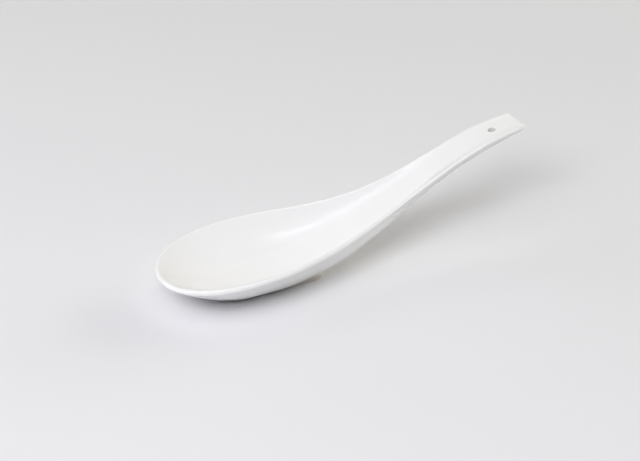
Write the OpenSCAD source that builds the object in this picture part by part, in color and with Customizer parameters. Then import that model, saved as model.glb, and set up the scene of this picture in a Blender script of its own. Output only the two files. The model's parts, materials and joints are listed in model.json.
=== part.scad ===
// Soup spoon with an egg-shaped bowl, and a channelled handle that sweeps up from it to a hanging hole.
// A fired clay body lies inside a thin coat of glaze, and only its flat foot is bare.
// The origin is the middle of the foot. +X runs to the end of the handle, and +Z is up.

/* [Bowl] */
// Length over all, from the front of the bowl to the end of the handle
overall_length = 137; // [120:1:160]
// Width across the bowl at its widest place
bowl_width = 43.6; // [36:0.2:52]
// Distance from the front of the bowl to its widest place
bowl_reach = 31.5; // [26:0.5:38]
// Height of the rim at the front of the bowl
front_rim_height = 12.5; // [10:0.1:15]
// Thickness of the rim at the front of the bowl, where it is rounded over
front_rim_thickness = 1.9; // [1.6:0.1:2.4]
// The same at the sides of the bowl
side_rim_thickness = 1.7; // [1.4:0.1:2.2]
// Thickness of the bowl at the middle of its floor
floor_thickness = 5.6; // [5:0.1:6.2]

/* [Handle] */
// Width of the handle at its end
handle_end_width = 11.8; // [10:0.1:16]
// Height of the handle's edges at its end
handle_end_height = 40.2; // [34:0.1:48]
// Radius of the handle's upper edges
handle_edge_radius = 0.7; // [0.6:0.05:0.9]
// Thickness of the handle at its end, in the middle of the channel
handle_end_thickness = 2.6; // [2.4:0.1:3.2]
// Depth of the channel between the handle's edges, at its end
channel_depth = 0.3; // [0.2:0.1:0.6]
// Radius of the two corners at the end of the handle
corner_radius = 1.4; // [1.2:0.1:2.4]
// How far the middle of the handle's end stands out past its corners
end_bow = 0.3; // [0.2:0.1:0.8]
// Diameter of the hanging hole in the glaze
hole_diameter = 2.6; // [2:0.1:3.4]
// Distance from the end of the handle to the middle of the hanging hole
hole_setback = 10.7; // [8:0.1:14]

/* [Foot] */
// Length of the bare foot, which is flat with round ends
foot_length = 38; // [30:0.5:40]
// Width of the bare foot
foot_width = 12; // [10:0.5:14]
// How far the foot stands out below the glaze round it
foot_height = 0.6; // [0.4:0.1:1]
// Distance from the front of the bowl to the middle of the foot
foot_setback = 41; // [38:0.5:44]

/* [Glaze] */
// Thickness of the glaze
glaze_thickness = 0.3; // [0.2:0.05:0.4]

/* [Hidden] */
// How far a cut runs past what it cuts
overrun = 2;

// Curves along the spoon, from its widest place to the end of its handle, at even steps.
// The first and last shares only steer the slope at the ends.
// Width, as a share of what the bowl has over the end of the handle
width_shares = [0.88, 1, 0.88, 0.625, 0.358, 0.173, 0.078, 0.045, 0, -0.06];
// Height of the rim, as a share of its rise from the front of the bowl to the end of the handle
rim_rise_shares = [0.08, 0.112, 0.145, 0.19, 0.296, 0.484, 0.71, 0.905, 1, 1.02];
// Height of the underside, as a share of its rise from the foot to the end of the handle
under_rise_shares = [0, 0, 0, 0.078, 0.277, 0.517, 0.727, 0.887, 1, 1.04];
// Height of the inside, as a share of its rise from the floor of the bowl to the end of the channel
inside_rise_shares = [0.027, 0, 0.027, 0.131, 0.307, 0.513, 0.748, 0.921, 1, 1.02];
// Part of the half width that is flat on the inside, at the same places
inside_flat_shares = [0.2, 0.2, 0.38, 0.55, 0.64, 0.6, 0.45, 0.35, 0.35, 0.35];

// Places along those curves between which the bowl's section turns into the handle's
neck_start_share = 0.2;
neck_end_share = 0.6;
// Part of the half width that is flat under the bowl and under the handle
bowl_under_flat_share = 0.27;
handle_under_flat_share = 0.35;
// Powers that bend the outline, the rim's rise, the walls and the inside
front_power = 2.2;
front_rise_power = 0.75;
bowl_wall_power = 1.4;
handle_wall_power = 3;
inside_power = 2;

// Steps of the outline from the front to the end, and of the section from the underside to the inside
front_steps = 12;
side_steps = 24;
corner_steps = 3;
end_steps = 2;
wall_steps = 7;
rim_steps = 7;
inside_steps = 9;
half_outline_steps = front_steps + side_steps + corner_steps + end_steps;
outline_steps = 2 * half_outline_steps;
section_points = wall_steps + rim_steps + inside_steps + 1;

front_rim_radius = front_rim_thickness / 2;
side_rim_radius = side_rim_thickness / 2;
hole_radius = hole_diameter / 2;
half_bowl = bowl_width / 2;
half_end = handle_end_width / 2;
rim_rise = handle_end_height - front_rim_height;
floor_height = foot_height + floor_thickness;
channel_end_height = handle_end_height - channel_depth;
under_end_height = channel_end_height - handle_end_thickness;
// The middle line that the sections start from, from the widest place to half a width short of the end
line_start = bowl_reach;
line_end = overall_length - half_end;
hole_place = overall_length - hole_setback;

// Smooth curve through shares at even steps, where place runs from 0 to 1
function curve(shares, place) =
    let (
        steps = len(shares) - 3,
        step = min(floor(place * steps), steps - 1),
        t = place * steps - step,
        a = shares[step],
        b = shares[step + 1],
        c = shares[step + 2],
        d = shares[step + 3]
    )
    b + t * (c - a + t * (2 * a - 5 * b + 4 * c - d + t * (3 * (b - c) + d - a))) / 2;

function ease(t) = t * t * (3 - 2 * t);
function blend(from, to, t) = from + (to - from) * t;
function limit(value, low, high) = max(low, min(high, value));

// Share of the way from the widest place of the bowl to the end of the handle, for a distance from the front
function place(x) = limit((x - bowl_reach) / (overall_length - bowl_reach), 0, 1);

function half_width(x) = half_end + (half_bowl - half_end) * curve(width_shares, place(x));
function rim_share(x) = curve(rim_rise_shares, place(x)) * pow(min(x / bowl_reach, 1), front_rise_power);
function rim_height(x) = front_rim_height + rim_rise * rim_share(x);
function under_height(x) = blend(foot_height, under_end_height, curve(under_rise_shares, place(x)));
function inside_height(x) = blend(floor_height, channel_end_height, curve(inside_rise_shares, place(x)));
function neck_place(x) = (place(x) - neck_start_share) / (neck_end_share - neck_start_share);
function neck_share(x) = ease(limit(neck_place(x), 0, 1));

// Half of the outline seen from above: the front of the bowl, one side, a corner and half of the end
side_end = overall_length - end_bow - corner_radius;
corner_y = half_width(side_end) - corner_radius;
half_outline = [
    for (k = [0 : front_steps - 1])
        let (turn = 90 * k / front_steps)
        [bowl_reach * (1 - pow(cos(turn), 2 / front_power)), half_bowl * pow(sin(turn), 2 / front_power)],
    for (k = [0 : side_steps - 1])
        let (x = blend(bowl_reach, side_end, k / side_steps))
        [x, half_width(x)],
    for (k = [0 : corner_steps - 1])
        let (turn = 90 * k / corner_steps)
        [side_end + corner_radius * sin(turn), corner_y + corner_radius * cos(turn)],
    for (k = [0 : end_steps])
        let (end_share = 1 - k / end_steps)
        [overall_length - end_bow * ease(end_share), corner_y * end_share]
];
outline = [
    for (k = [0 : half_outline_steps]) half_outline[k],
    for (k = [half_outline_steps - 1 : -1 : 1]) [half_outline[k].x, -half_outline[k].y]
];

// Height of the rim at a point of the outline. At the end of the handle the channel runs out between the corners.
function edge_height(point) =
    let (corner_share = min(abs(point.y) / corner_y, 1))
    point.x < side_end
        ? rim_height(point.x)
        : blend(inside_height(point.x), rim_height(point.x), pow(corner_share, inside_power));

// One section of the spoon, from the underside round the rim to the inside, as distances out and heights.
// It runs from the middle line at line_x to a point of the outline that is reach away.
// ahead_share is how much of each step out leads along the spoon.
function section(line_x, ahead_share, rim_z, reach) =
    let (
        in_handle = neck_share(line_x),
        in_front = ease(max(0, -ahead_share)),
        bowl_rim_radius = blend(side_rim_radius, front_rim_radius, in_front),
        radius = blend(bowl_rim_radius, handle_edge_radius, in_handle),
        rim_reach = reach - radius,
        rim_x = line_x + ahead_share * rim_reach,
        power = blend(bowl_wall_power, handle_wall_power, in_handle),
        under_flat_share = blend(bowl_under_flat_share, handle_under_flat_share, in_handle),
        inside_flat_share = curve(inside_flat_shares, place(line_x)),
        rise = power * (rim_z - radius - under_height(rim_x)) / ((1 - under_flat_share) * reach),
        fall = inside_power * (rim_z - inside_height(rim_x)) / ((1 - inside_flat_share) * rim_reach),
        start_turn = atan(rise) - 90,
        end_turn = 90 + atan(fall),
        rim = [
            for (k = [0 : rim_steps])
                let (turn = blend(start_turn, end_turn, k / rim_steps))
                [rim_reach + radius * cos(turn), rim_z - radius + radius * sin(turn)]
        ]
    )
    [
        for (k = [0 : wall_steps - 1])
            let (
                t = k / wall_steps,
                out = rim[0].x * blend(under_flat_share, 1, t)
            )
            [out, blend(under_height(line_x + ahead_share * out), rim[0].y, pow(t, power))],
        for (point = rim) point,
        for (k = [1 : inside_steps])
            let (
                t = 1 - k / inside_steps,
                out = rim[rim_steps].x * blend(inside_flat_share, 1, t)
            )
            [out, blend(inside_height(line_x + ahead_share * out), rim[rim_steps].y, pow(t, inside_power))]
    ];

// The glazed surface, as one section for each point of the outline
glaze_surface = [
    for (point = outline)
        let (
            line_x = limit(point.x, line_start, line_end),
            ray = [point.x - line_x, point.y],
            reach = norm(ray)
        )
        [
            for (p = section(line_x, ray.x / reach, edge_height(point), reach))
                [line_x + p.x * ray.x / reach, p.x * ray.y / reach, p.y]
        ]
];

// The clay's surface, which lies a glaze's thickness inside the glazed one
function clay_point(i, j) =
    let (
        last = section_points - 1,
        across = (outline_steps - i) % outline_steps,
        ahead = glaze_surface[(i + 1) % outline_steps][j],
        behind = glaze_surface[(i + outline_steps - 1) % outline_steps][j],
        after = j < last ? glaze_surface[i][j + 1] : glaze_surface[across][last],
        before = j > 0 ? glaze_surface[i][j - 1] : glaze_surface[across][0],
        normal = cross(ahead - behind, after - before)
    )
    glaze_surface[i][j] + glaze_thickness * normal / norm(normal);
clay_surface = [for (i = [0 : outline_steps - 1]) [for (j = [0 : section_points - 1]) clay_point(i, j)]];

function point_index(i, j) = (i % outline_steps) * section_points + j;

// Triangles across the flat strip along the middle line, where the sections of the two sides meet
function strip(j) = [
    for (i = [0 : half_outline_steps - 1])
        let (
            a = point_index(i, j),
            b = point_index(i + 1, j),
            c = point_index(outline_steps - i - 1, j),
            d = point_index(outline_steps - i, j)
        )
        each [if (b != c) [a, c, b], if (a != d) [a, d, c]]
];

// A solid inside a closed surface of sections
module solid_inside(surface) {
    sides = [
        for (i = [0 : outline_steps - 1])
            for (j = [0 : section_points - 2])
                let (
                    a = point_index(i, j),
                    b = point_index(i + 1, j),
                    c = point_index(i + 1, j + 1),
                    d = point_index(i, j + 1)
                )
                each i < half_outline_steps ? [[a, c, d], [a, b, c]] : [[a, b, d], [b, c, d]]
    ];
    bottom = strip(0);
    top = [for (face = strip(section_points - 1)) [face[2], face[1], face[0]]];
    points = [for (row = surface) each row];
    translate([-foot_setback, 0, 0])
        polyhedron(points, concat(sides, bottom, top));
}

// Flat plate with round ends, from the table up into the floor of the bowl
module foot() {
    linear_extrude(foot_height + glaze_thickness + floor_thickness / 2) {
        square([foot_length - foot_width, foot_width], center = true);
        for (side = [-1, 1])
            translate([side * (foot_length - foot_width) / 2, 0])
                circle(d = foot_width, $fn = 64);
    }
}

// Round cut through the handle, square to the channel
module hanging_hole(radius) {
    depth = inside_height(hole_place) - under_height(hole_place);
    slope = atan((inside_height(hole_place + hole_radius) - inside_height(hole_place - hole_radius)) / hole_diameter);
    translate([hole_place - foot_setback, 0, inside_height(hole_place)])
        rotate([0, -slope, 0])
            translate([0, 0, -depth - overrun])
                cylinder(r = radius, h = depth + 2 * overrun, $fn = 64);
}

module clay() {
    difference() {
        union() {
            solid_inside(clay_surface);
            foot();
        }
        hanging_hole(hole_radius + glaze_thickness);
    }
}

module porcelain_body() {
    color("ivory")
        clay();
}

module glaze_coat() {
    color("white")
        difference() {
            solid_inside(glaze_surface);
            clay();
            hanging_hole(hole_radius);
        }
}

porcelain_body();
glaze_coat();
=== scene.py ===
import json
import math

import bmesh
import bpy
from mathutils import Matrix, Vector


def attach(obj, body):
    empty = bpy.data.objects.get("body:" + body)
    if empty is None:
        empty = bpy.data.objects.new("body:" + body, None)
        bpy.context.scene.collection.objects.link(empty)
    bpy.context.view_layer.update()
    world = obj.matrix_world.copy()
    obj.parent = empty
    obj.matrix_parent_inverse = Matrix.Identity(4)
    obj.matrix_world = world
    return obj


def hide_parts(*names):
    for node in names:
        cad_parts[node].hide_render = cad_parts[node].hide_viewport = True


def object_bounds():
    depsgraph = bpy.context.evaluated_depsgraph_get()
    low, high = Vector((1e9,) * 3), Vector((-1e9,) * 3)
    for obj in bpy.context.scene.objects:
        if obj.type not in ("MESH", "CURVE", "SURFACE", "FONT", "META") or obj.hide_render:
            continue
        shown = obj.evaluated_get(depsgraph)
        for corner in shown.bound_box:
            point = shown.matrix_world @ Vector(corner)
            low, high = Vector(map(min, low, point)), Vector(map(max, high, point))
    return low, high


# White glazed soup spoon. The glaze is a fine mesh that follows the same curves as its solid,
# with a soft-edged hanging hole and an opening for the bare foot. All lengths are in metres.

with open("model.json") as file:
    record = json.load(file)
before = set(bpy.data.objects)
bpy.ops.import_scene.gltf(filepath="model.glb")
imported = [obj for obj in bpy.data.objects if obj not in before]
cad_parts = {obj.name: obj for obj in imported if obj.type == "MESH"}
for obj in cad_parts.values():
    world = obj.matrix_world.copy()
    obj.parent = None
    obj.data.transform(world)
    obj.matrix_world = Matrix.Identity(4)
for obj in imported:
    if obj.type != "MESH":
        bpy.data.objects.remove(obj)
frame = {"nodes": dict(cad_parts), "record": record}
cad_low, cad_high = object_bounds()
mounts = {mount["name"]: mount for mount in frame["record"]["mounts"]}
millimetre = 0.001

# Sizes taken from the frame
overall_length = cad_high.x - cad_low.x
half_bowl = cad_high.y
handle_end_height = cad_high.z
foot_setback = -cad_low.x
hole_middle = Vector(mounts["hanging_hole"]["pos_m"])
hole_axis = Vector(mounts["hanging_hole"]["axis"]).normalized()
hole_radius = mounts["hanging_hole"]["dims"]["r_mm"] * millimetre
hole_length = mounts["hanging_hole"]["dims"]["length_mm"] * millimetre

# Sizes of the bowl, the handle, the foot and the glaze
bowl_reach = 0.0315
front_rim_height = 0.0125
front_rim_radius = 0.00095
side_rim_radius = 0.00085
floor_thickness = 0.0056
half_end = 0.0059
handle_edge_radius = 0.0007
handle_end_thickness = 0.0026
channel_depth = 0.0003
corner_radius = 0.0014
end_bow = 0.0003
foot_length = 0.038
foot_width = 0.012
foot_height = 0.0006
foot_margin = 0.0016
glaze_thickness = 0.0003
hole_edge_radius = 0.0003

# Curves along the spoon, from its widest place to the end of its handle, at even steps.
# The first and last shares only steer the slope at the ends.
width_shares = [0.88, 1, 0.88, 0.625, 0.358, 0.173, 0.078, 0.045, 0, -0.06]
rim_rise_shares = [0.08, 0.112, 0.145, 0.19, 0.296, 0.484, 0.71, 0.905, 1, 1.02]
under_rise_shares = [0, 0, 0, 0.078, 0.277, 0.517, 0.727, 0.887, 1, 1.04]
inside_rise_shares = [0.027, 0, 0.027, 0.131, 0.307, 0.513, 0.748, 0.921, 1, 1.02]
# Part of the half width that is flat on the inside, at the same places
inside_flat_shares = [0.2, 0.2, 0.38, 0.55, 0.64, 0.6, 0.45, 0.35, 0.35, 0.35]

# Places along those curves between which the bowl's section turns into the handle's
neck_start_share = 0.2
neck_end_share = 0.6
# Part of the half width that is flat under the bowl and under the handle
bowl_under_flat_share = 0.27
handle_under_flat_share = 0.35
# Powers that bend the outline, the rim's rise, the walls and the inside
front_power = 2.2
front_rise_power = 0.75
bowl_wall_power = 1.4
handle_wall_power = 3
inside_power = 2

# Steps of the outline, of the sections, and of the strip and the patches between the two sides
front_steps = 32
side_steps = 150
corner_steps = 8
end_steps = 6
wall_steps = 16
rim_steps = 16
inside_steps = 26
strip_steps = 2 * end_steps
patch_steps = 4
edge_steps = 6
hole_rows = 4
end_row = front_steps + side_steps + corner_steps
half_steps = end_row + end_steps

half_foot = foot_width / 2
half_foot_line = (foot_length - foot_width) / 2
rim_rise = handle_end_height - front_rim_height
floor_height = foot_height + floor_thickness
channel_end_height = handle_end_height - channel_depth
under_end_height = channel_end_height - handle_end_thickness
# Ends of the middle line that the sections are cut from
line_start = bowl_reach
line_end = overall_length - half_end
side_end = overall_length - end_bow - corner_radius


def curve(shares, place_share):
    """Smooth curve through shares at even steps, where place_share runs from 0 to 1."""
    steps = len(shares) - 3
    step = min(int(place_share * steps), steps - 1)
    t = place_share * steps - step
    a, b, c, d = shares[step:step + 4]
    return b + t * (c - a + t * (2 * a - 5 * b + 4 * c - d + t * (3 * (b - c) + d - a))) / 2


def ease(t):
    return t * t * (3 - 2 * t)


def blend(start, end, t):
    return start + (end - start) * t


def limit(value, low, high):
    return max(low, min(high, value))


# Sizes at a distance x from the front of the bowl

def place(x):
    """Share of the way from the widest place of the bowl to the end of the handle."""
    return limit((x - bowl_reach) / (overall_length - bowl_reach), 0, 1)


def half_width(x):
    return half_end + (half_bowl - half_end) * curve(width_shares, place(x))


def rim_height(x):
    front_share = limit(x / bowl_reach, 0, 1) ** front_rise_power
    return front_rim_height + rim_rise * curve(rim_rise_shares, place(x)) * front_share


def under_height(x):
    return foot_height + (under_end_height - foot_height) * curve(under_rise_shares, place(x))


def inside_height(x):
    """Height of the inside along the middle line."""
    return floor_height + (channel_end_height - floor_height) * curve(inside_rise_shares, place(x))


def neck_share(x):
    """0 in the bowl and 1 in the handle, easing from one to the other in the neck."""
    return ease(limit((place(x) - neck_start_share) / (neck_end_share - neck_start_share), 0, 1))


corner_y = half_width(side_end) - corner_radius


def half_outline():
    """Half of the outline from above: the front of the bowl, one side, a corner, half of the end."""
    points = []
    for k in range(front_steps):
        turn = math.pi / 2 * k / front_steps
        x = bowl_reach * (1 - math.cos(turn) ** (2 / front_power))
        points.append((x, half_bowl * math.sin(turn) ** (2 / front_power)))
    for k in range(side_steps):
        x = blend(bowl_reach, side_end, k / side_steps)
        points.append((x, half_width(x)))
    for k in range(corner_steps):
        turn = math.pi / 2 * k / corner_steps
        x = side_end + corner_radius * math.sin(turn)
        points.append((x, corner_y + corner_radius * math.cos(turn)))
    for k in range(end_steps + 1):
        end_share = 1 - k / end_steps
        points.append((overall_length - end_bow * ease(end_share), corner_y * end_share))
    return [Vector(point) for point in points]


def edge_height(point):
    """Height of the rim. At the end of the handle the channel runs out between the corners."""
    if point.x < side_end:
        return rim_height(point.x)
    corner_share = min(abs(point.y) / corner_y, 1)
    return blend(inside_height(point.x), rim_height(point.x), corner_share ** inside_power)


class Section:
    """The spoon cut from its middle line out to a point of its outline, as distances out and heights."""

    def __init__(self, outline_point):
        self.line_x = limit(outline_point.x, line_start, line_end)
        ray = outline_point - Vector((self.line_x, 0))
        self.direction = ray.normalized()
        in_handle = neck_share(self.line_x)
        in_front = ease(max(0, -self.direction.x))
        bowl_rim_radius = blend(side_rim_radius, front_rim_radius, in_front)
        self.radius = blend(bowl_rim_radius, handle_edge_radius, in_handle)
        self.rim_reach = ray.length - self.radius
        self.rim_z = edge_height(outline_point)
        self.wall_power = blend(bowl_wall_power, handle_wall_power, in_handle)
        self.under_flat_share = blend(bowl_under_flat_share, handle_under_flat_share, in_handle)
        self.inside_flat_share = curve(inside_flat_shares, place(self.line_x))
        rim_x = self.line_x + self.direction.x * self.rim_reach
        wall_rise = self.rim_z - self.radius - under_height(rim_x)
        inside_rise = self.rim_z - inside_height(rim_x)
        rise = self.wall_power * wall_rise / ((1 - self.under_flat_share) * ray.length)
        fall = inside_power * inside_rise / ((1 - self.inside_flat_share) * self.rim_reach)
        self.rim_turns = (math.atan(rise) - math.pi / 2, math.atan(fall) + math.pi / 2)

    def rim(self, t):
        """Point of the round rim, from the wall to the inside."""
        turn = blend(*self.rim_turns, t)
        height = self.rim_z - self.radius + self.radius * math.sin(turn)
        return Vector((self.rim_reach + self.radius * math.cos(turn), height))

    def wall_over(self, base, out):
        """Height of the wall at a distance out, over a flat middle of the underside at the height base."""
        edge = self.rim(0)
        t = max(0, (out / edge.x - self.under_flat_share) / (1 - self.under_flat_share))
        return blend(base, edge.y, t ** self.wall_power)

    def under(self, out):
        """Height of the underside at a distance out."""
        return self.wall_over(under_height(self.line_x + self.direction.x * out), out)

    def inside(self, t):
        """Point of the inside, from the edge of its flat middle to the rim."""
        edge = self.rim(1)
        out = edge.x * blend(self.inside_flat_share, 1, t)
        base = inside_height(self.line_x + self.direction.x * out)
        return Vector((out, blend(base, edge.y, t ** inside_power)))

    def wall_start(self):
        """Distance out at which the wall's mesh starts: round the foot, or beside the handle's middle."""
        wide = half_foot + foot_margin
        if self.direction.x < 0:
            return foot_distance(self.direction, half_foot_line + line_start - foot_setback, wide)
        past_foot = self.line_x - foot_setback - half_foot_line
        narrow = self.rim(0).x * handle_under_flat_share
        return blend(wide, narrow, ease(limit(past_foot / foot_width, 0, 1)))

    def profile(self):
        """Points from the underside up the wall, over the rim and down the inside, in the frame."""
        start = self.wall_start()
        edge_out = self.rim(0).x
        outs = [blend(start, edge_out, k / wall_steps) for k in range(wall_steps)]
        points = [Vector((out, self.under(out))) for out in outs]
        points += [self.rim(k / rim_steps) for k in range(rim_steps + 1)]
        points += [self.inside(1 - k / inside_steps) for k in range(1, inside_steps + 1)]
        return [self.placed(point) for point in points]

    def placed(self, point):
        """A point of the section, given as a distance out and a height, in the frame."""
        flat = self.direction * point.x
        return Vector((self.line_x + flat.x - foot_setback, flat.y, point.y))


def foot_distance(direction, line_left, half_strip):
    """Distance to the edge of a round-ended strip, from a place line_left before its line's end."""
    along = abs(direction.x)
    across = abs(direction.y)
    if along * half_strip <= line_left * across:
        return half_strip / across
    return line_left * along + math.sqrt(half_strip ** 2 - (line_left * across) ** 2)


def inside_at(point):
    """Height of the inside at a point near the middle line."""
    return inside_height(point.x + foot_setback)


def under_at(point):
    """Height of the underside at a point that isn't at the end of the handle."""
    x = point.x + foot_setback
    side = abs(point.y)
    if x > line_start:
        return Section(Vector((x, half_width(x)))).under(side)
    ahead = line_start - x
    inverse_stretch = (ahead / bowl_reach) ** front_power + (side / half_bowl) ** front_power
    stretch = inverse_stretch ** (-1 / front_power)
    return Section(Vector((line_start - ahead * stretch, side * stretch))).under(math.hypot(ahead, side))


class Surface:
    """Points and faces of a mesh that is put together from grids."""

    def __init__(self):
        self.points = []
        self.faces = []

    def add(self, points):
        """Adds points and returns their numbers, by which rows, loops and faces name them."""
        start = len(self.points)
        self.points += points
        return list(range(start, len(self.points)))

    def grid(self, rows):
        """Faces between rows of points. A row that narrows to one point gives triangles."""
        for row, following in zip(rows, rows[1:]):
            for k in range(len(row) - 1):
                corners = dict.fromkeys((row[k], row[k + 1], following[k + 1], following[k]))
                if len(corners) > 2:
                    self.faces.append(list(corners))

    def rings(self, loops):
        """Faces between closed loops of points."""
        self.grid([loop + loop[:1] for loop in loops])

    def strip_row(self, left, right, section, height):
        """Points across the middle from one side to the other, with the two given ones at its ends."""
        if left == right:
            return [left] * (strip_steps + 1)
        start = self.points[left]
        between = []
        for k in range(1, strip_steps):
            y = start.y * (1 - 2 * k / strip_steps)
            out = math.hypot(start.x + foot_setback - section.line_x, y)
            between.append(Vector((start.x, y, height(section, start.x + foot_setback, out))))
        return [left] + self.add(between) + [right]


def round_of(rows):
    """The points round the edge of a block of rows, in order."""
    start = [row[0] for row in rows]
    end = [row[-1] for row in rows]
    return start + rows[-1][1:-1] + end[::-1] + rows[0][-2:0:-1]


def hole_ring(turns, along_axis, radius, depth, height_at):
    """Points round the hanging hole, at a depth along its axis from the surface."""
    across = Vector((-hole_axis.z, 0, hole_axis.x))
    centre = hole_middle + hole_axis * along_axis
    ring = []
    for turn in turns:
        point = centre + across * radius * math.cos(turn)
        point.y = radius * math.sin(turn)
        point.z = height_at(point)
        ring.append(point + hole_axis * depth)
    return ring


def hole_edge(turns, along_axis, way, height_at):
    """Rings over the rounded edge of the hanging hole, from the surface into the hole."""
    rings = []
    for k in range(edge_steps + 1):
        turn = math.pi / 2 * k / edge_steps
        radius = hole_radius + hole_edge_radius * (1 - math.sin(turn))
        depth = hole_edge_radius * (1 - math.cos(turn))
        rings.append(hole_ring(turns, along_axis, radius, way * depth, height_at))
    return rings


def rings_between(outer, inner, height_at):
    """Rings on the surface between two loops of points, without the loops themselves."""
    rings = []
    for step in range(1, patch_steps):
        ring = [blend(a, b, step / patch_steps) for a, b in zip(outer, inner)]
        for point in ring:
            point.z = height_at(point)
        rings.append(ring)
    return rings


def add_hole(surface, top_loop, under_loop):
    """The hanging hole: a patch round its upper edge, its wall, and a patch round its lower edge."""
    top = [surface.points[k] for k in top_loop]
    under = [surface.points[k] for k in under_loop]
    top_x = hole_middle.x - hole_axis.x * hole_length / 2
    turns = [math.atan2(point.y, point.x - top_x) for point in top]
    upper_edge = hole_edge(turns, -hole_length / 2, 1, inside_at)
    lower_edge = hole_edge(turns, hole_length / 2, -1, under_at)
    rings = rings_between(top, upper_edge[0], inside_at) + upper_edge
    rings += lower_edge[::-1] + rings_between(under, lower_edge[0], under_at)[::-1]
    surface.rings([top_loop] + [surface.add(ring) for ring in rings] + [under_loop])


def add_foot_opening(surface, loop):
    """The patch between the walls and the bare foot. Returns the loop of points round the foot."""
    outer = [surface.points[k] for k in loop]
    edge = []
    for point in outer:
        direction = point.xy.normalized()
        flat = direction * foot_distance(direction, half_foot_line, half_foot)
        edge.append(Vector((flat.x, flat.y, under_at(flat))))
    rings = rings_between(outer, edge, under_at) + [edge]
    loops = [loop] + [surface.add(ring) for ring in rings]
    surface.rings(loops)
    return loops[-1]


def glazed_surface():
    """The outside of the glaze, and the loop of points at which it stops round the foot."""
    surface = Surface()
    sections = [Section(point) for point in half_outline()]
    left = [surface.add(section.profile()) for section in sections]
    right = [left[0]]
    for k in range(1, half_steps):
        mirrored = [Vector((p.x, -p.y, p.z)) for p in (surface.points[n] for n in left[k])]
        right.append(surface.add(mirrored))
    right.append(left[half_steps])
    surface.grid(left)
    surface.grid(right)

    def row(k, end, height):
        """Points across the middle. The last row runs along the end of the handle."""
        if k == end_row:
            along_end = [left[n][end] for n in range(end_row, half_steps + 1)]
            return along_end + [right[n][end] for n in range(half_steps - 1, end_row - 1, -1)]
        return surface.strip_row(left[k][end], right[k][end], sections[k], height)

    def top_height(section, x, out):
        return inside_height(x)

    def bottom_height(section, x, out):
        return section.wall_over(under_height(x), out)

    def nearest_row(x):
        return min(range(end_row), key=lambda k: abs(sections[k].line_x - foot_setback - x))

    foot_row = nearest_row(foot_length / 2 + foot_margin)
    top = [row(k, -1, top_height) for k in range(end_row + 1)]
    under = {k: row(k, 0, bottom_height) for k in range(foot_row, end_row + 1)}

    half_hole = hole_axis.x * hole_length / 2
    top_hole = nearest_row(hole_middle.x - half_hole)
    under_hole = nearest_row(hole_middle.x + half_hole)
    surface.grid(top[:top_hole - hole_rows + 1])
    surface.grid(top[top_hole + hole_rows:])
    surface.grid([under[k] for k in range(foot_row, under_hole - hole_rows + 1)])
    surface.grid([under[k] for k in range(under_hole + hole_rows, end_row + 1)])
    top_loop = round_of(top[top_hole - hole_rows:top_hole + hole_rows + 1])
    under_loop = round_of([under[k] for k in range(under_hole - hole_rows, under_hole + hole_rows + 1)])
    add_hole(surface, top_loop, under_loop)

    front_starts = [left[k][0] for k in range(foot_row + 1)]
    back_starts = [right[k][0] for k in range(foot_row, 0, -1)]
    foot_loop = add_foot_opening(surface, front_starts + under[foot_row][1:-1] + back_starts)
    return surface, foot_loop


def shell_mesh(name, surface, open_loop):
    """A closed shell: the surface, its copy a glaze's thickness in, and a strip round the opening."""
    shell = bmesh.new()
    outside = [shell.verts.new(point) for point in surface.points]
    for face in surface.faces:
        shell.faces.new([outside[k] for k in face])
    bmesh.ops.recalc_face_normals(shell, faces=shell.faces)
    shell.normal_update()
    inside = [shell.verts.new(vert.co - vert.normal * glaze_thickness) for vert in outside]
    shell.verts.index_update()
    for face in list(shell.faces):
        shell.faces.new([inside[vert.index] for vert in reversed(face.verts)])
    for a, b in zip(open_loop, open_loop[1:] + open_loop[:1]):
        shell.faces.new([outside[b], outside[a], inside[a], inside[b]])
        for side in (outside, inside):
            shell.edges.get((side[a], side[b])).smooth = False
    bmesh.ops.recalc_face_normals(shell, faces=shell.faces)
    mesh = bpy.data.meshes.new(name)
    shell.to_mesh(mesh)
    shell.free()
    mesh.shade_smooth()
    return mesh


def add_object(name, data):
    made = bpy.data.objects.new(name, data)
    bpy.context.scene.collection.objects.link(made)
    return made


# Materials

def new_material(name):
    """A material with its tree, its shader and a place in the frame for its textures."""
    material = bpy.data.materials.new(name)
    material.use_nodes = True
    tree = material.node_tree
    shader = tree.nodes["Principled BSDF"]
    where = tree.nodes.new("ShaderNodeTexCoord").outputs["Object"]
    return material, tree, shader, where


def noise(tree, where, size, detail):
    """Noise whose blotches are about as wide as size."""
    node = tree.nodes.new("ShaderNodeTexNoise")
    node.inputs["Scale"].default_value = 1 / size
    node.inputs["Detail"].default_value = detail
    tree.links.new(where, node.inputs["Vector"])
    return node.outputs["Fac"]


def colours(tree, value, stop_shares, tones):
    """Colour by a value, from one tone to another between two stops."""
    node = tree.nodes.new("ShaderNodeValToRGB")
    for element, stop_share, tone in zip(node.color_ramp.elements, stop_shares, tones):
        element.position = stop_share
        element.color = (*tone, 1)
    tree.links.new(value, node.inputs["Fac"])
    return node.outputs["Color"]


def ranged(tree, value, low, high):
    """A value from 0 to 1, brought into a range."""
    node = tree.nodes.new("ShaderNodeMapRange")
    node.inputs["To Min"].default_value = low
    node.inputs["To Max"].default_value = high
    tree.links.new(value, node.inputs["Value"])
    return node.outputs["Result"]


def vector_step(tree, operation, vector, other):
    """A vector taken through one operation with another vector."""
    node = tree.nodes.new("ShaderNodeVectorMath")
    node.operation = operation
    tree.links.new(vector, node.inputs[0])
    node.inputs[1].default_value = other
    return node.outputs["Vector"]


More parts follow.
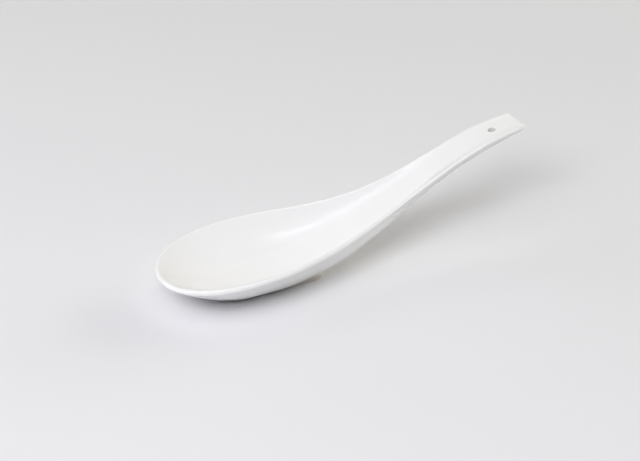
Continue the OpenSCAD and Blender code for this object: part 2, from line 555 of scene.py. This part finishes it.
def inside_hole(tree, where):
    """Share of painted shade in the hanging hole: 1 inside it and 0 outside its rounded edge, by the
    distance from its axis.
    """
    offset = vector_step(tree, "SUBTRACT", where, hole_middle)
    across = vector_step(tree, "CROSS_PRODUCT", offset, hole_axis)
    distance = tree.nodes.new("ShaderNodeVectorMath")
    distance.operation = "LENGTH"
    tree.links.new(across, distance.inputs[0])
    node = tree.nodes.new("ShaderNodeMapRange")
    node.inputs["From Min"].default_value = hole_radius + hole_edge_radius
    node.inputs["From Max"].default_value = hole_radius
    tree.links.new(distance.outputs["Value"], node.inputs["Value"])
    return node.outputs["Result"]


def mixed(tree, share, colour, other):
    """A colour that turns by a share into another, fixed one."""
    node = tree.nodes.new("ShaderNodeMix")
    node.data_type = "RGBA"
    tree.links.new(share, node.inputs["Factor"])
    tree.links.new(colour, node.inputs["A"])
    node.inputs["B"].default_value = (*other, 1)
    return node.outputs["Result"]


def bump(tree, shader, height, distance):
    node = tree.nodes.new("ShaderNodeBump")
    node.inputs["Distance"].default_value = distance
    tree.links.new(height, node.inputs["Height"])
    tree.links.new(node.outputs["Normal"], shader.inputs["Normal"])


# Width of the blotches of tone on the spoon
mottle_size = 0.018

# The glaze
glaze_cool = (0.898, 0.896, 0.898)
glaze_warm = (0.905, 0.903, 0.902)
# Painted shade: grey laid on the glaze inside the hanging hole
painted_hole_shade = (0.76, 0.755, 0.745)
glaze_stop_shares = (0.35, 0.65)
glaze_roughness = (0.14, 0.18)
glaze_mottle_detail = 3
glaze_wave_size = 0.006
glaze_wave_depth = 0.00002
glaze_wave_detail = 1

# The bare clay
clay_dark = (0.70, 0.665, 0.60)
clay_pale = (0.83, 0.80, 0.74)
clay_stop_shares = (0.3, 0.6)
clay_roughness = (0.75, 0.92)
clay_mottle_detail = 4
grain_size = 0.0006
grain_depth = 0.00008
grain_detail = 6

# The table top
floor_colour = (0.802, 0.8, 0.828)
floor_pale_share = 1.01
floor_stop_shares = (0.3, 0.7)
floor_roughness = 0.55
floor_mottle_size = 0.12
floor_mottle_detail = 2
floor_size = 6.0


def glaze_material():
    """Glossy white glaze: a hardly seen drift of tone, long low waves and painted shade that greys the
    inside of the hanging hole.
    """
    material, tree, shader, where = new_material("white_glaze")
    tone = noise(tree, where, mottle_size, glaze_mottle_detail)
    colour = colours(tree, tone, glaze_stop_shares, (glaze_cool, glaze_warm))
    # Painted shade: the glaze turns grey inside the hanging hole
    hole_shaded = mixed(tree, inside_hole(tree, where), colour, painted_hole_shade)
    tree.links.new(hole_shaded, shader.inputs["Base Color"])
    tree.links.new(ranged(tree, tone, *glaze_roughness), shader.inputs["Roughness"])
    waves = noise(tree, where, glaze_wave_size, glaze_wave_detail)
    bump(tree, shader, waves, glaze_wave_depth)
    return material


def bare_clay_material():
    """Unglazed, ground porcelain: matt, with a fine grain and a few rubbed patches."""
    material, tree, shader, where = new_material("bare_porcelain")
    grain = noise(tree, where, grain_size, grain_detail)
    patches = noise(tree, where, mottle_size, clay_mottle_detail)
    colour = colours(tree, patches, clay_stop_shares, (clay_dark, clay_pale))
    tree.links.new(colour, shader.inputs["Base Color"])
    tree.links.new(ranged(tree, grain, *clay_roughness), shader.inputs["Roughness"])
    bump(tree, shader, grain, grain_depth)
    return material


def floor_material():
    """Plain pale table top, with a slight drift of tone."""
    material, tree, shader, where = new_material("table")
    tone = noise(tree, where, floor_mottle_size, floor_mottle_detail)
    paler = tuple(value * floor_pale_share for value in floor_colour)
    colour = colours(tree, tone, floor_stop_shares, (floor_colour, paler))
    tree.links.new(colour, shader.inputs["Base Color"])
    shader.inputs["Roughness"].default_value = floor_roughness
    return material


# Camera, light and floor. The camera's lens and sensor are in millimetres.

view_point = Vector((0.02134, 0.00527, 0.012))
camera_distance = 0.8572
camera_azimuth = math.radians(-27)
camera_elevation = math.radians(30)
camera_lens = 140.625
camera_sensor = 36.0

camera_right = Vector((math.cos(camera_azimuth), math.sin(camera_azimuth), 0))
camera_ahead = Vector((-math.sin(camera_azimuth), math.cos(camera_azimuth), 0))
upwards = Vector((0, 0, 1))

# Lamps as a turn from straight behind the spoon, clockwise as seen from above, and a height angle,
# both in degrees, a width, a height, a power in watts, a colour and whether surfaces mirror them
lamp_distance = 1.3
cool_light = (1, 1, 1.03)
warm_light = (1.015, 1, 0.87)
ambient_light = (1.04, 1, 0.8)
lamps = {
    "key": (200, 43, 0.7, 0.42, 8.9, cool_light, False),
    "high_key": (220, 51, 1.4, 0.7, 4.2, cool_light, True),
    "overhead": (160, 68, 0.46, 0.38, 1.4, cool_light, True),
    "top_fill": (215, 80, 0.9, 0.9, 1.9, cool_light, True),
    "right_fill": (60, 15, 0.8, 0.6, 7.6, warm_light, True),
    "back_fill": (355, 33, 1.6, 1.0, 2.4, warm_light, True),
    "left_fill": (288, 36, 0.9, 0.7, 2.7, cool_light, True),
}
world_strength = 0.058


def add_camera():
    camera = add_object("camera", bpy.data.cameras.new("camera"))
    camera.data.lens = camera_lens
    camera.data.sensor_width = camera_sensor
    look = camera_ahead * math.cos(camera_elevation) - upwards * math.sin(camera_elevation)
    top = camera_ahead * math.sin(camera_elevation) + upwards * math.cos(camera_elevation)
    turn = Matrix((camera_right, top, -look)).transposed().to_4x4()
    camera.matrix_world = Matrix.Translation(view_point - look * camera_distance) @ turn
    bpy.context.scene.camera = camera


def add_lamp(name, turn, height_angle, width, height, power, colour, mirrored):
    turn = math.radians(turn)
    height_angle = math.radians(height_angle)
    level = camera_ahead * math.cos(turn) + camera_right * math.sin(turn)
    away = level * math.cos(height_angle) + upwards * math.sin(height_angle)
    lamp = add_object(name, bpy.data.lights.new(name, "AREA"))
    lamp.data.shape = "RECTANGLE"
    lamp.data.size = width
    lamp.data.size_y = height
    lamp.data.energy = power
    lamp.data.color = colour
    lamp.visible_glossy = mirrored
    lamp.location = away * lamp_distance
    lamp.rotation_euler = (-away).to_track_quat("-Z", "Y").to_euler()


def add_world():
    world = bpy.data.worlds.new("studio")
    world.use_nodes = True
    background = world.node_tree.nodes["Background"]
    background.inputs["Color"].default_value = (*ambient_light, 1)
    background.inputs["Strength"].default_value = world_strength
    bpy.context.scene.world = world


def add_floor():
    half = floor_size / 2
    mesh = bpy.data.meshes.new("table")
    corners = [(-half, -half, 0), (half, -half, 0), (half, half, 0), (-half, half, 0)]
    mesh.from_pydata(corners, [], [(0, 1, 2, 3)])
    mesh.materials.append(floor_material())
    add_object("table", mesh)


def add_glaze():
    surface, foot_loop = glazed_surface()
    glaze = add_object("glaze", shell_mesh("glaze", surface, foot_loop))
    glaze.data.materials.append(glaze_material())
    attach(glaze, "root")
    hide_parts("glaze_coat")


def dress_body():
    body = frame["nodes"]["porcelain_body"]
    body.data.materials.clear()
    body.data.materials.append(bare_clay_material())


bpy.context.scene.view_settings.view_transform = "Standard"
add_camera()
add_glaze()
dress_body()
add_floor()
add_world()
for lamp_name, lamp_values in lamps.items():
    add_lamp(lamp_name, *lamp_values)
